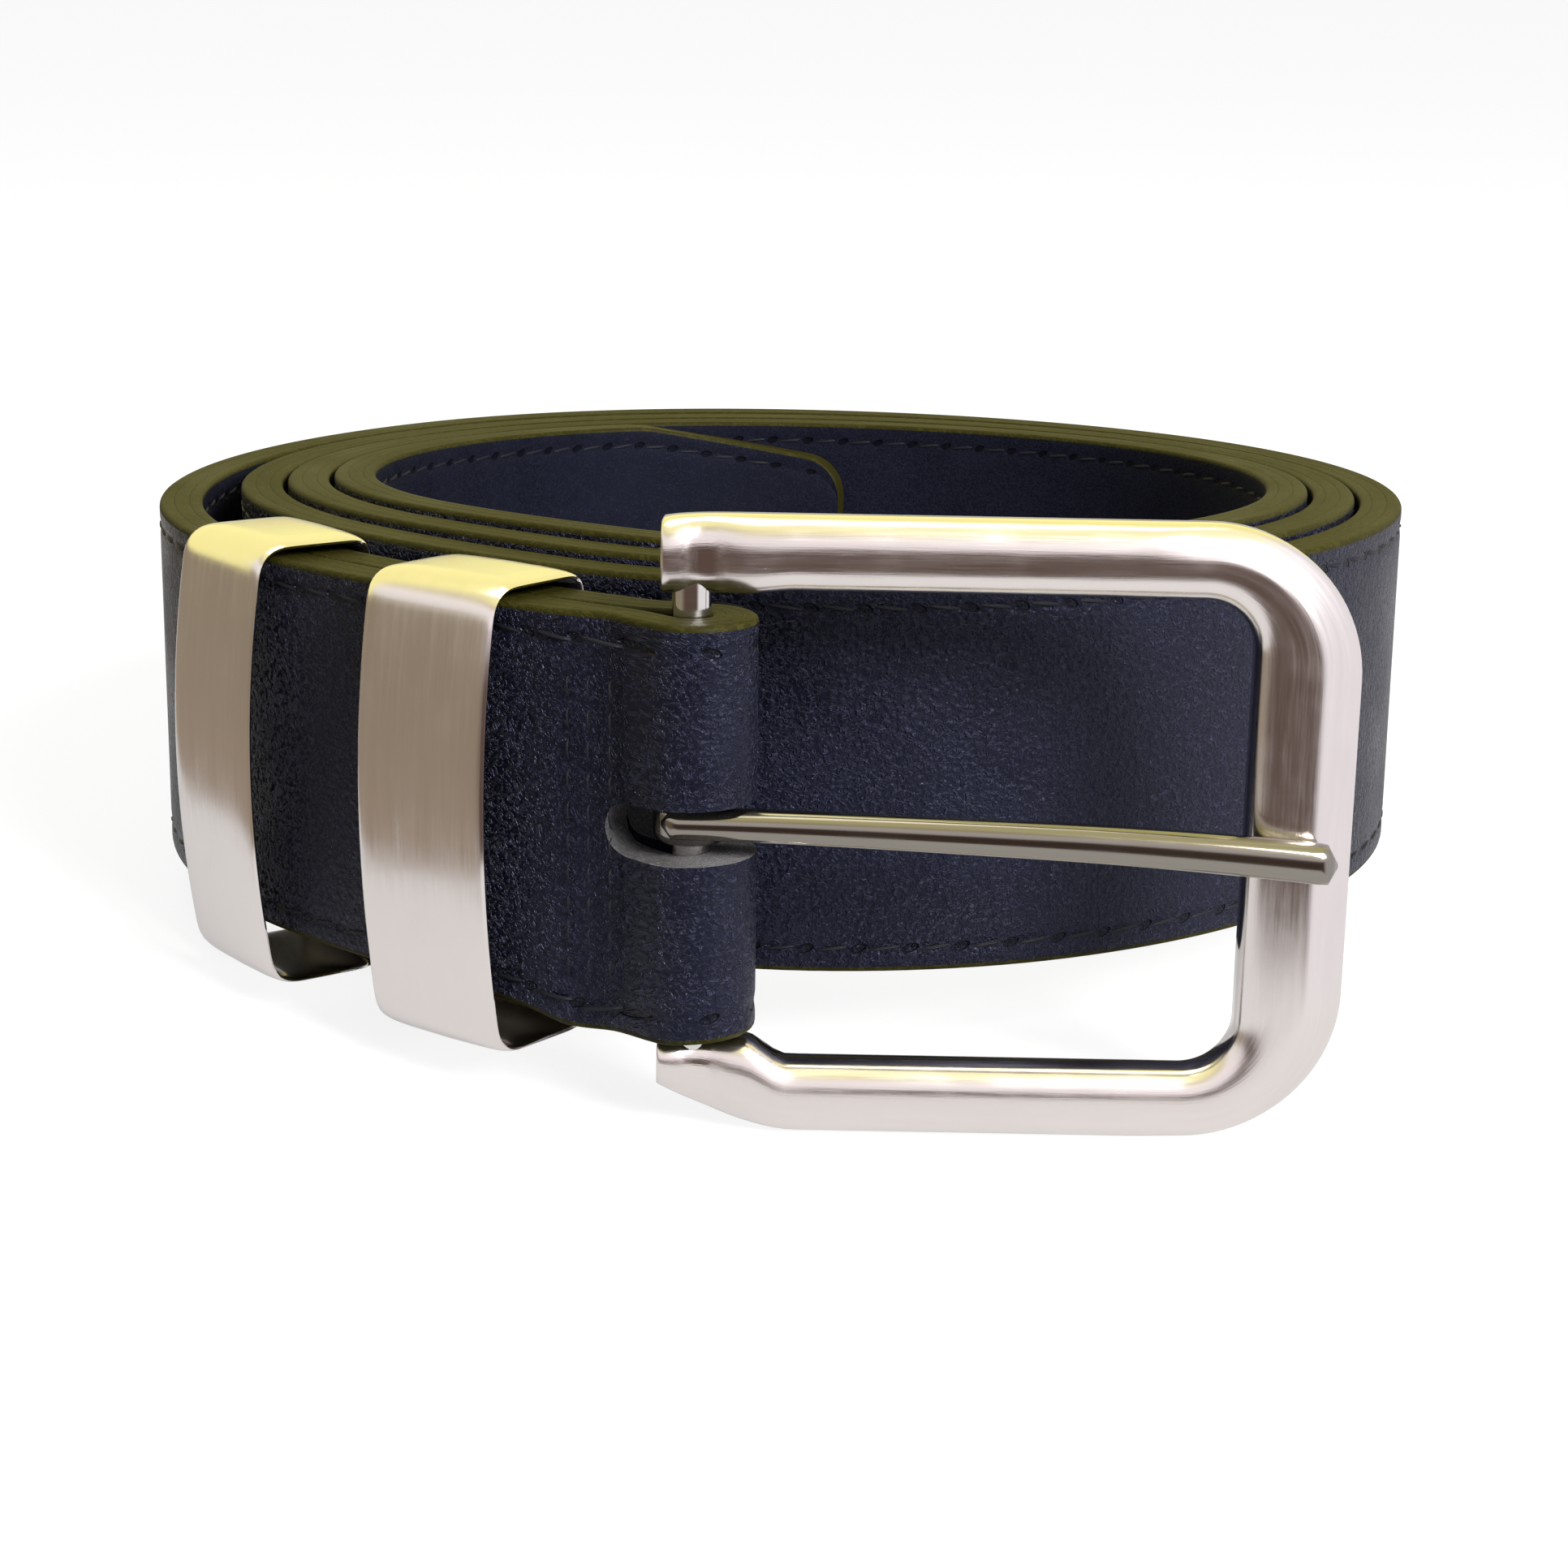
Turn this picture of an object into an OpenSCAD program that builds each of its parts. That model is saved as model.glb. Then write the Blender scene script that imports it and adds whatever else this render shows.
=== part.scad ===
// Gentleman's leather belt, coiled on its edge, with a hinged frame buckle
// and two closed metal keepers. Millimetres, +Z up.
// The strap is laid out flat on a plane first; stood() then leans the whole
// belt back so that it rests on the buckle frame and on the back of the coil.

/* [Strap] */
// Width of the strap
strap_w = 35; // [34:0.5:36]
// Thickness of the grain-side leather
face_t = 1.5; // [1.4:0.1:1.6]
// Thickness of the filler board between the leathers
board_t = 1.5; // [1.4:0.1:1.6]
// Thickness of the lining leather
lining_t = 1.3; // [1.2:0.1:1.4]
// Distance from one turn of the coil to the next
turn_pitch = 4.8; // [4.7:0.05:4.9]
// How far each turn stands above the turn outside it
turn_rise = 0.6; // [0:0.1:0.8]

/* [Fold] */
// Outer radius of the leather round the hinge pin
roll_r = 5.6; // [5.4:0.1:5.8]
// Length of the strap that is folded back behind itself
tab_len = 62; // [56:1:64]
// Width of the slot that lets the prong through the fold
slot_w = 4.6; // [4.4:0.1:5]

/* [Tail] */
// Length over which the tail narrows
taper_len = 26; // [20:1:30]
// How much each edge comes in at the tip
taper_in = 4.5; // [3:0.5:6]
// Radius of the two corners of the tip
tip_r = 5; // [3:0.5:6]
// Diameter of the punched holes
hole_d = 4; // [3.5:0.1:4.5]
// Distance between the punched holes
hole_pitch = 25; // [24:0.5:26]
// Number of punched holes
hole_count = 5; // [3:2:7]

/* [Stitching] */
// Distance of each row from the edge of the strap
row_inset = 2.2; // [2:0.1:3]
// Width of a row of thread
thread_w = 0.8; // [0.6:0.1:1]
// How far the thread stands above the leather
thread_t = 0.15; // [0.1:0.01:0.18]

/* [Buckle] */
// Height of the frame, across the strap
frame_h = 53; // [51:0.5:55]
// Distance from the hinge pin to the far end of the frame
frame_reach = 55.4; // [52:0.1:58]
// Thickness of the frame
frame_t = 4.4; // [4:0.1:5]
// Height of the upper and lower rails
rail_h = 6.2; // [5.8:0.1:7]
// How far the frame hangs below the middle of the strap
frame_sag = 0.6; // [0:0.1:1]
// Width of the far bar
bar_w = 9; // [8:0.1:10]
// Diameter of the hinge pin
pin_d = 3.3; // [3.2:0.1:3.4]
// Diameter of the prong
prong_d = 3.6; // [3.4:0.1:4]

/* [Keepers] */
// Length of a keeper along the strap
keeper_w = 15; // [13:0.5:15]
// Outer height of a keeper
keeper_h = 42; // [41:0.5:43]
// Thickness of the keeper's plate
keeper_t = 1; // [0.9:0.1:1.1]
// How far the keeper's front bulges
keeper_bow = 1.5; // [1:0.1:2]

/* [Hidden] */
$fn = 96;

strap_t = face_t + board_t + lining_t;
glue_gap = 0.1;
stack_t = 2 * strap_t + glue_gap;
mid_z = strap_w / 2;
slip = 0.05;
clear = 0.35;

// Plan of the strap's grain side as clockwise arcs, each [radius, turn angle].
// The doubled end is nearly straight, then come four turns of the coil.
doubled_end = [[60, 5.5], [170, 11], [67, 46]];
half_back = [[78, 41], [56, 49]];
half_front = [[70, 45], [62, 45], [66, 66], [55, 24]];
next_start = [[41.6, 35], [135.4, 12], [56.9, 43], [63.5, 45], [50.6, 45]];
start_point = [-13.4, -75.3];
start_heading = 152.5;

function inside(arcs, k) = [for (a = arcs) [a[0] - k * turn_pitch, a[1]]];
first_turn = concat(doubled_end, half_back, half_front);
second_turn = concat(next_start, inside(half_front, 1));
third_turn = inside(second_turn, 1);
last_turn = [for (i = [0:4]) inside(second_turn, 2)[i]];
tail_arc = [[65.2 - 2 * turn_pitch, 10.5]];
route = concat(first_turn, second_turn, third_turn, last_turn, tail_arc);
last = len(route) - 1;

// Heading where arc i starts, its centre and the point where it starts.
function turned(i) = i == 0 ? 0 : turned(i - 1) + route[i - 1][1];
function heading(i) = start_heading - turned(i);
function unit(a) = [cos(a), sin(a)];
function centre(i) = begins(i) + route[i][0] * unit(heading(i) - 90);
function begins(i) = i == 0 ? start_point
    : centre(i - 1) + route[i - 1][0] * unit(heading(i) + 90);
function arc_len(i) = route[i][0] * route[i][1] * PI / 180;
centres = [for (i = [0:last]) centre(i)];
headings = [for (i = [0:last]) heading(i)];

// Point at depth d under the grain surface, at a fraction f of arc i.
function angle_at(i, f) = headings[i] + 90 - route[i][1] * f;
function point_at(i, f, d) = centres[i] + (route[i][0] - d) * unit(angle_at(i, f));

// Points along arcs i0 to i1 at depth d, from fraction f0 to fraction f1.
step_len = 3.5;
function steps(i) = ceil(arc_len(i) / step_len);
function arc_points(i, d, f0 = 0, f1 = 1) =
    [for (k = [0:steps(i)]) point_at(i, f0 + (f1 - f0) * k / steps(i), d)];
function arcs_points(i0, i1, d) =
    [for (i = [i0:i1], k = [(i == i0 ? 0 : 1):steps(i)]) point_at(i, k / steps(i), d)];
function reversed(p) = [for (k = [len(p) - 1:-1:0]) p[k]];

// The pin's axis lies beyond the start of the strap, in line with its middle.
pin_back = 4.4;
side = unit(start_heading - 90);
pin_at = start_point + stack_t / 2 * side - pin_back * unit(start_heading);

// Points round the pin at radius r, from the front of the fold to its back.
lead_turn = 8;
function roll_points(r) =
    let (a0 = start_heading + 90 - lead_turn, a1 = start_heading + 270 + lead_turn)
    [for (k = [0:36]) pin_at + r * unit(a0 + (a1 - a0) * k / 36)];

// The folded-back end lies against the lining of the first arcs.
tab_part = (tab_len - arc_len(0) - arc_len(1)) / arc_len(2);
function tab_points(d) =
    concat(arcs_points(0, 1, d), arc_points(2, d, 0, tab_part));

// A lean that lets the frame's lower rail and the back of the coil touch the
// same flat surface, and the shift that centres the belt over the origin.
frame_drop = frame_h / 2 + frame_sag - mid_z;
rest_front = -pin_at[1] - frame_t / 2;
rest_back = 66.4;
lean = atan(frame_drop / (rest_front + rest_back));
depth_shift = 5.4;
module stood() translate([0, depth_shift, rest_back * sin(lean)])
    rotate([-lean, 0, 0]) children();

// A band between two lines of points, from z0 up to z0 + h.
module band(front_line, back_line, z0, h)
    translate([0, 0, z0]) linear_extrude(h)
        polygon(concat(front_line, reversed(back_line)));

// One layer of the strap from its outer face at depth a to depth b: the first
// turn with the fold, then the inner turns, each a little higher. r_out and
// r_in are the layer's radii round the pin.
turn_first = [0, len(first_turn), len(first_turn) + len(second_turn),
              len(first_turn) + 2 * len(second_turn)];
function fold_line(d, r) =
    concat(reversed(arcs_points(0, turn_first[1] - 1, d)), roll_points(r),
           tab_points(stack_t - d));
module folded_turn(a, b, r_out, r_in, z0, h)
    band(fold_line(a, r_out), fold_line(b, r_in), z0, h);
module inner_turn(n, a, b, z0, h) {
    i1 = n == 3 ? last : turn_first[n + 1] - 1;
    lap = point_at(turn_first[n] - 1, 0.95, a);
    lap_in = point_at(turn_first[n] - 1, 0.95, b);
    band(concat([lap], arcs_points(turn_first[n], i1, a)),
         concat([lap_in], arcs_points(turn_first[n], i1, b)),
         z0 + n * turn_rise, h);
}

// Slot through both walls of the fold, with room for the prong's eye.
slot_back = 6;
module prong_slot() translate([pin_at[0], pin_at[1], mid_z])
    rotate([0, 0, start_heading + 180])
        translate([-slot_back, -roll_r - 1, -slot_w / 2])
            cube([slot_back + roll_r + 1, 2 * roll_r + 2, slot_w]);

// What is cut away beside the narrowed tail and round its two corners.
tip_x = point_at(last, 1, 0)[0];
function corner(cx, cz, r, a0, a1) =
    [for (k = [0:8]) [cx, cz] + r * unit(a0 + (a1 - a0) * k / 8)];
tail_outline = concat(
    [[tip_x - taper_len, 0]],
    corner(tip_x - tip_r, taper_in + tip_r - 1, tip_r, -80, 0),
    corner(tip_x - tip_r, strap_w - taper_in - tip_r + 1, tip_r, 0, 80),
    [[tip_x - taper_len, strap_w]]);
module tail_cut() translate([0, 80, 3 * turn_rise])
    rotate([90, 0, 0]) linear_extrude(60) difference() {
        translate([tip_x - taper_len, -1]) square([taper_len + 5, strap_w + 2]);
        polygon(tail_outline);
    }

// Punched holes on the middle line of the last turn, measured from the tip.
first_hole = 95;
function from_tip(s, i) = s <= arc_len(i) ? [i, 1 - s / arc_len(i)]
    : from_tip(s - arc_len(i), i - 1);
module punched_holes() for (k = [0:hole_count - 1]) {
    place = from_tip(first_hole + k * hole_pitch, last);
    at = point_at(place[0], place[1], strap_t + 0.2);
    translate([at[0], at[1], mid_z + 3 * turn_rise])
        rotate([0, 90, angle_at(place[0], place[1])])
            cylinder(h = strap_t + 0.4, d = hole_d);
}

module strap_layer(a, b, r_out, r_in) {
    difference() {
        folded_turn(a, b, r_out, r_in, 0, strap_w);
        prong_slot();
    }
    for (n = [1:2]) inner_turn(n, a, b, 0, strap_w);
    difference() {
        inner_turn(3, a, b, 0, strap_w);
        tail_cut();
        punched_holes();
    }
}

roll_t = roll_r - pin_d / 2 - slip;
face_r = roll_r - roll_t * 0.36;
board_r = roll_r - roll_t * 0.7;
module face_leather() color([0.09, 0.1, 0.15]) stood()
    strap_layer(0, face_t, roll_r, face_r);
module filler_board() color([0.25, 0.22, 0.2]) stood()
    strap_layer(face_t, face_t + board_t, face_r, board_r);
module lining_leather() color([0.13, 0.13, 0.16]) stood()
    strap_layer(face_t + board_t, strap_t, board_r, pin_d / 2 + slip);

// Lockstitch along both edges: the needle thread lies on the grain side, the
// bobbin thread on the lining. Both stop where the tail narrows.
row_levels = [row_inset - thread_w / 2, strap_w - row_inset - thread_w / 2];
module thread_turns(d, z) {
    for (n = [1:2]) inner_turn(n, d, d + thread_t, z, thread_w);
    difference() {
        inner_turn(3, d, d + thread_t, z, thread_w);
        translate([tip_x - taper_len, 20, 0]) cube([taper_len + 5, 60, 60]);
    }
}
module needle_thread() color([0.05, 0.05, 0.08]) stood()
    for (z = row_levels) {
        folded_turn(-thread_t, 0, roll_r + thread_t, roll_r, z, thread_w);
        thread_turns(-thread_t, z);
    }
module bobbin_thread() color([0.05, 0.05, 0.08]) stood()
    for (z = row_levels) {
        d = strap_t + thread_t;
        i1 = turn_first[1] - 1;
        band(arcs_points(3, i1, strap_t), arcs_points(3, i1, d), z, thread_w);
        thread_turns(strap_t, z);
    }

// Upright rows that sew the folded-back end to the front of the strap.
fold_rows = [0.15, 0.5, 0.85];
fold_row_h = 24;
module fold_stitching() color([0.04, 0.04, 0.06]) stood()
    for (f = fold_rows, d = [-thread_t - 0.03, stack_t + 0.03])
        translate([0, 0, mid_z - fold_row_h / 2])
            linear_extrude(fold_row_h) polygon([
                point_at(0, f, d), point_at(0, f + 0.1, d),
                point_at(0, f + 0.1, d + thread_t), point_at(0, f, d + thread_t)]);

// Buckle parts are drawn with the pin's axis as Z and the frame along +X.
module at_pin() stood() translate([pin_at[0], pin_at[1], mid_z]) children();

lug_back = 2.4;
lug_gap = 2.4;
outer_corner = 13;
inner_corner = 4.5;
module rounded_end(x0, x1, h, r) {
    translate([x0, -h / 2]) square([x1 - r - x0, h]);
    translate([x1 - r - 1, -h / 2 + r]) square([r + 1, h - 2 * r]);
    for (s = [-1, 1]) translate([x1 - r, s * (h / 2 - r)]) circle(r);
}
module buckle_frame() color([0.75, 0.72, 0.7]) at_pin() {
    inner_h = frame_h - 2 * rail_h;
    lug_h = strap_w + 2 * lug_gap;
    translate([0, 0, -frame_sag]) rotate([90, 0, 0]) difference() {
        linear_extrude(frame_t, center = true) difference() {
            rounded_end(-lug_back, frame_reach, frame_h, outer_corner);
            rounded_end(6, frame_reach - bar_w, inner_h, inner_corner);
            translate([-lug_back - 1, -lug_h / 2]) square([10, lug_h]);
        }
        rotate([90, 0, 0]) cylinder(h = pin_len, d = pin_d, center = true);
    }
}

pin_len = frame_h - 4;
module hinge_pin() color([0.8, 0.8, 0.8]) at_pin() translate([0, 0, -frame_sag])
    cylinder(h = pin_len, d = pin_d, center = true);

// The prong is an eye round the pin and a round bar with a slight bow.
eye_r = 3.3;
bar_front = -frame_t / 2 - prong_d / 2 - 0.3;
prong_bow_r = 420;
prong_reach = 53;
bow_turn = asin((prong_reach - 1) / prong_bow_r);
module prong() color([0.7, 0.7, 0.7]) at_pin() difference() {
    union() {
        cylinder(h = prong_d, r = eye_r, center = true);
        translate([prong_reach, bar_front + prong_bow_r, 0])
            rotate_extrude(angle = bow_turn, start = -90 - bow_turn)
                translate([prong_bow_r, 0]) circle(d = prong_d);
    }
    cylinder(h = 2 * prong_d, d = pin_d + 2 * slip, center = true);
}

// Keeper: a closed loop of plate round the doubled strap. z runs up, y is
// the depth from the grain surface inwards.
keeper_depth = stack_t + 2 * clear + 2 * keeper_t + 1.05;
keeper_r = 3;
function keeper_outline(g) =
    let (h = keeper_h / 2 - g, d = keeper_depth / 2 - g, r = keeper_r - g)
    let (bow = keeper_bow)
    concat([for (k = [-8:8]) [-d - bow * (1 - pow(k / 8, 2)), k / 8 * (h - r)]],
           corner(-d + r, h - r, r, 180, 90),
           corner(d - r / 2, h - r / 2, r / 2, 90, 0),
           corner(d - r / 2, -h + r / 2, r / 2, 0, -90),
           corner(-d + r, -h + r, r, -90, -180));
module keeper_loop()
    rotate([90, 0, 90]) linear_extrude(keeper_w, center = true) difference() {
        polygon(keeper_outline(0));
        polygon(keeper_outline(keeper_t));
    }
keeper_z = strap_w + keeper_t + 0.6 - keeper_h / 2;

// Sets a keeper at a fraction f of arc i, hanging on the upper edge.
module on_arc(i, f) {
    at = point_at(i, f, stack_t / 2);
    translate([at[0], at[1], keeper_z]) rotate([0, 0, angle_at(i, f) + 90]) children();
}
module keeper_near() color([0.78, 0.75, 0.72]) stood() on_arc(1, 0.41) keeper_loop();
module keeper_far() color([0.78, 0.75, 0.72]) stood() on_arc(2, 0.185) keeper_loop();

face_leather();
filler_board();
lining_leather();
needle_thread();
bobbin_thread();
fold_stitching();
buckle_frame();
hinge_pin();
prong();
keeper_near();
keeper_far();
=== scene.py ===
# %% [markdown]
# # A leather belt, coiled on its edge
# The belt is a strap of three layers, a hinged frame buckle with a prong, and two
# closed metal keepers. The CAD model gives the sizes, the places and the joints.
# Here each plain CAD piece gets a finer surface and a finish. Lengths are written in
# millimetres on a flat plan, and turned into Blender's metres in one place.

# %% Start
import math

import bmesh
import bpy
import numpy as np
from mathutils import Matrix, Vector


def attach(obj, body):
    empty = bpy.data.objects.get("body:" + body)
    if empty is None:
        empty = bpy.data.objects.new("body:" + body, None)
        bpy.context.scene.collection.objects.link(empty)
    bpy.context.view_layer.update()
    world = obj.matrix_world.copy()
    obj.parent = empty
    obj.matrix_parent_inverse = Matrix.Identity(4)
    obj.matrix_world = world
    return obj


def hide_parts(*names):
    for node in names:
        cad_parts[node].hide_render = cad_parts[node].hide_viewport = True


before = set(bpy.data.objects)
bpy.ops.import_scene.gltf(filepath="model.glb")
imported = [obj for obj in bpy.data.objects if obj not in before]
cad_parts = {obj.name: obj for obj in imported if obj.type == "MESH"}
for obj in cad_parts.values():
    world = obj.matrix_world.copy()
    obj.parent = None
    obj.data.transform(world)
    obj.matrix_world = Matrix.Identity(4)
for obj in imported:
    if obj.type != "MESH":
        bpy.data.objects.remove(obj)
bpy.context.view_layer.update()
print("CAD nodes:", ", ".join(sorted(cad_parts)))

# %% [markdown]
# ## The plan and the lean
# The belt is drawn as if it stood straight up. The buckle frame is taller than the
# strap, so the real belt leans back until the frame's lower rail and the back of the
# coil touch the same surface. One function turns every point of the plan that way,
# so all pieces stay in step with the CAD model.

# %% Sizes and the lean
# Strap: width, thickness, thickness where it is doubled, and pitch of the turns.
STRAP_W, STRAP_T, STACK_T, TURN = 35.0, 4.3, 8.7, 4.8
MID = STRAP_W / 2
# Buckle frame: height, thickness, and how far it hangs below the strap's middle.
FRAME_H, FRAME_T, SAG = 53.0, 4.4, 0.6
# Where the coil starts and in which direction, and how far before it the pin lies.
START, START_HEADING, PIN_LEAD = np.array([-13.4, -75.3]), 152.5, 4.4
# How far behind the origin the coil touches the floor, and the shift of the whole.
REST_BACK, DEPTH_SHIFT = 66.4, 5.4


def unit(degrees):
    """Points on the unit circle: (cosine, sine) of each angle."""
    a = np.radians(degrees)
    return np.stack([np.cos(a), np.sin(a)], -1)


PIN = START + STACK_T / 2 * unit(START_HEADING - 90) - PIN_LEAD * unit(START_HEADING)
LEAN = math.atan((FRAME_H / 2 + SAG - MID) / (-PIN[1] - FRAME_T / 2 + REST_BACK))


def standing(p):
    """Turns plan points by the lean about X, lifts them onto the floor, in metres."""
    p = np.asarray(p, float)
    x, y, z = p[..., 0], p[..., 1], p[..., 2]
    c, s = math.cos(LEAN), math.sin(LEAN)
    out = np.stack([x, y * c + z * s + DEPTH_SHIFT,
                    -y * s + z * c + REST_BACK * s], -1)
    return out * 0.001


print("the belt leans back by %.2f degrees" % math.degrees(LEAN))

# %% [markdown]
# ## The line of the strap
# Seen from above, the strap is a chain of clockwise arcs, each with a radius and an
# angle, one pitch further in on each turn. Arcs are a tailor's way to draw a coil:
# they join without kinks and need only two numbers each.

# %% The chain of arcs
DOUBLED_END = [(60, 5.5), (170, 11), (67, 46)]
HALF_BACK = [(78, 41), (56, 49)]
HALF_FRONT = [(70, 45), (62, 45), (66, 66), (55, 24)]
NEXT_START = [(41.6, 35), (135.4, 12), (56.9, 43), (63.5, 45), (50.6, 45)]


def inside(arcs, k):
    """The same arcs, k turns further in."""
    return [(r - k * TURN, w) for r, w in arcs]


SECOND = NEXT_START + inside(HALF_FRONT, 1)
ROUTE = (DOUBLED_END + HALF_BACK + HALF_FRONT + SECOND + inside(SECOND, 1)
         + inside(SECOND, 2)[:5] + [(65.2 - 2 * TURN, 10.5)])
RADII = np.array([r for r, w in ROUTE], float)
SWEEPS = np.array([w for r, w in ROUTE], float)
HEADINGS = START_HEADING - np.concatenate([[0], np.cumsum(SWEEPS)[:-1]])
ENDS = np.concatenate([[0], np.cumsum(RADII * np.radians(SWEEPS))])
_steps = RADII[:, None] * (unit(HEADINGS - SWEEPS + 90) - unit(HEADINGS + 90))
CENTRES = (START + np.concatenate([[[0, 0]], np.cumsum(_steps, 0)[:-1]])
           + RADII[:, None] * unit(HEADINGS - 90))
LENGTH = ENDS[-1]


def on_route(s, depth):
    """Arc containing s; point = centre + (radius - depth) * unit(heading + 90 - turned)."""
    k = np.clip(np.searchsorted(ENDS, s, side="right") - 1, 0, len(ROUTE) - 1)
    turned = np.degrees((s - ENDS[k]) / RADII[k])
    return CENTRES[k] + (RADII[k] - depth)[..., None] * unit(HEADINGS[k] + 90 - turned)


def heading_at(s):
    """Heading of the strap at length s, in degrees."""
    k = np.clip(np.searchsorted(ENDS, s, side="right") - 1, 0, len(ROUTE) - 1)
    return HEADINGS[k] - np.degrees((s - ENDS[k]) / RADII[k])


print("strap length on the coil: %.0f mm" % LENGTH)

# %% [markdown]
# ## The fold round the pin
# The outer end of the strap is folded round the hinge pin and lies against its own
# lining. The whole strap is then one line: from the sewn-down end, round the pin and
# on along the coil. For each place on it there is a point on the grain side and one
# on the lining side, and every layer lies between the two.

# %% Grain line and lining line
# Outer and inner radius of the fold, and length of the sewn-down end.
ROLL_R, BORE_R, TAB = 5.6, 1.7, 62.0
# Length of the grain side round the fold, its gap to the lines on either side, half
# its angle in degrees, and its number of points.
ROLL_LEN, JOIN, HALF_ROLL, ROLL_STEPS = 15.7, 0.3, 98, 42


def strap_lines(step=0.5):
    """Tab backwards, half circle round the pin, then the route; lightly smoothed."""
    s_tab = np.arange(TAB, 0.2, -step)
    a = START_HEADING + 180 + np.linspace(HALF_ROLL, -HALF_ROLL, ROLL_STEPS)
    s_route = np.append(np.arange(0, LENGTH - 0.2, step), LENGTH)
    grain = np.concatenate([on_route(s_tab, STACK_T), PIN + ROLL_R * unit(a),
                            on_route(s_route, 0)])
    lining = np.concatenate([on_route(s_tab, STACK_T - STRAP_T), PIN + BORE_R * unit(a),
                             on_route(s_route, STRAP_T)])
    s = np.concatenate([-ROLL_LEN - 2 * JOIN - s_tab,
                        np.linspace(-ROLL_LEN - JOIN, -JOIN, ROLL_STEPS), s_route])
    turns = np.concatenate([np.zeros(len(s_tab) + ROLL_STEPS),
                            (START_HEADING - heading_at(s_route)) / 360])
    for _ in range(4):
        for line in (grain, lining):
            line[1:-1] = (line[:-2] + 2 * line[1:-1] + line[2:]) / 4
    return s, grain, lining, turns


LINE_S, LINE_G, LINE_L, LINE_T = strap_lines()
S_FIRST, S_LAST = LINE_S[0], LINE_S[-1]
# Lift of each turn, and its growth per millimetre towards the front.
RISE, RISE_FRONT = 0.38, 0.008
# Drop of the lower edge along the sewn-down end, and what the fold adds to it.
SLUMP, FOLD_SLUMP = 0.5, 0.9


def strap_point(s, v, d):
    """Between the grain and lining points by d / thickness; height = width + rise - slump.
    The rise lifts each turn over the one outside it, more at the front. The slump lets
    the lower edge of the doubled end hang down, most near the fold."""
    grain = np.stack([np.interp(s, LINE_S, LINE_G[:, i]) for i in (0, 1)], -1)
    lining = np.stack([np.interp(s, LINE_S, LINE_L[:, i]) for i in (0, 1)], -1)
    t = np.interp(s, LINE_S, LINE_T)
    xy = grain + (lining - grain) * (d / STRAP_T)[..., None]
    rise = RISE * t - RISE_FRONT * t * xy[..., 1]
    slump = SLUMP + FOLD_SLUMP * np.exp(-((s - 4) / 5.5) ** 2)
    slump = np.where(s < -ROLL_LEN, SLUMP, slump) * np.clip((16 - s) / 10, 0, 1)
    return np.concatenate([xy, (v - slump * (1 - v / STRAP_W) + rise)[..., None]], -1)


print("the line runs from %.1f to %.1f mm" % (S_FIRST, S_LAST))

# %% [markdown]
# ## From numbers to meshes
# Two helpers build everything. One puts arrays of points and faces into a mesh and
# keeps a place for each point, as measured on the flat strap or plate, for the
# patterns. The other closes a grid of rings into a tube with a cap at each end.

# %% Mesh helpers


def new_piece(name, points, faces, place, sharp):
    """Plan points to metres, faces to a mesh, normals outwards; shading is smooth but
    for edges bent by more than the sharp angle, in degrees."""
    mesh = bpy.data.meshes.new(name)
    points = np.asarray(points, float).reshape(-1, 3)
    mesh.from_pydata(standing(points).tolist(), [], faces)
    values = mesh.attributes.new("place", "FLOAT_VECTOR", "POINT").data
    values.foreach_set("vector", np.asarray(place, np.float32).ravel())
    work = bmesh.new()
    work.from_mesh(mesh)
    bmesh.ops.recalc_face_normals(work, faces=work.faces)
    work.to_mesh(mesh)
    work.free()
    mesh.shade_smooth()
    mesh.set_sharp_from_angle(angle=math.radians(sharp))
    piece = bpy.data.objects.new(name, mesh)
    bpy.context.scene.collection.objects.link(piece)
    print("%s: %d points, %d faces" % (name, len(points), len(mesh.polygons)))
    return piece


def tube_faces(rings, around, count=1):
    """Quads between neighbouring rings and one many-sided cap at each end, for as many
    tubes of the same size as count says."""
    i, j = np.meshgrid(np.arange(rings - 1), np.arange(around), indexing="ij")
    k = (j + 1) % around
    quads = np.stack([i * around + j, i * around + k, (i + 1) * around + k,
                      (i + 1) * around + j], -1).reshape(-1, 4)
    size = rings * around
    shift = np.arange(count)[:, None, None] * size
    faces = (quads[None] + shift).reshape(-1, 4).tolist()
    caps = np.stack([np.arange(around)[::-1], (rings - 1) * around + np.arange(around)])
    faces += (caps[None] + shift).reshape(-1, around).tolist()
    return faces


def finish_piece(piece, body, node, slot, *materials):
    """The piece rides on its body and stands for the CAD node."""
    for material in materials:
        piece.data.materials.append(material)
    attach(piece, body)
    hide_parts(node)


# %% [markdown]
# ## Patterns shared by several finishes
# Real leather has a fine grain of short wandering ridges, and brushed plate has
# hairlines that follow the direction in which it was rubbed. Each is a node group,
# built once and used with its own values in every material that needs it.

# %% Node helper


def node(tree, kind, props=None, **inputs):
    """Adds a node, sets its properties, and sets or links its inputs by name."""
    made = tree.nodes.new(kind)
    for key, value in (props or {}).items():
        setattr(made, key, value)
    for key, value in inputs.items():
        name = int(key[1:]) if key[0] == "_" else key.replace("_", " ")
        socket = made.inputs[name]
        if isinstance(value, bpy.types.NodeSocket):
            tree.links.new(value, socket)
        else:
            socket.default_value = value
    return made


def math_node(tree, operation, a, b=0.0, clamp=False):
    """One arithmetic step; returns its output."""
    props = {"operation": operation, "use_clamp": clamp}
    return node(tree, "ShaderNodeMath", props, _0=a, _1=b).outputs[0]


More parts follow.
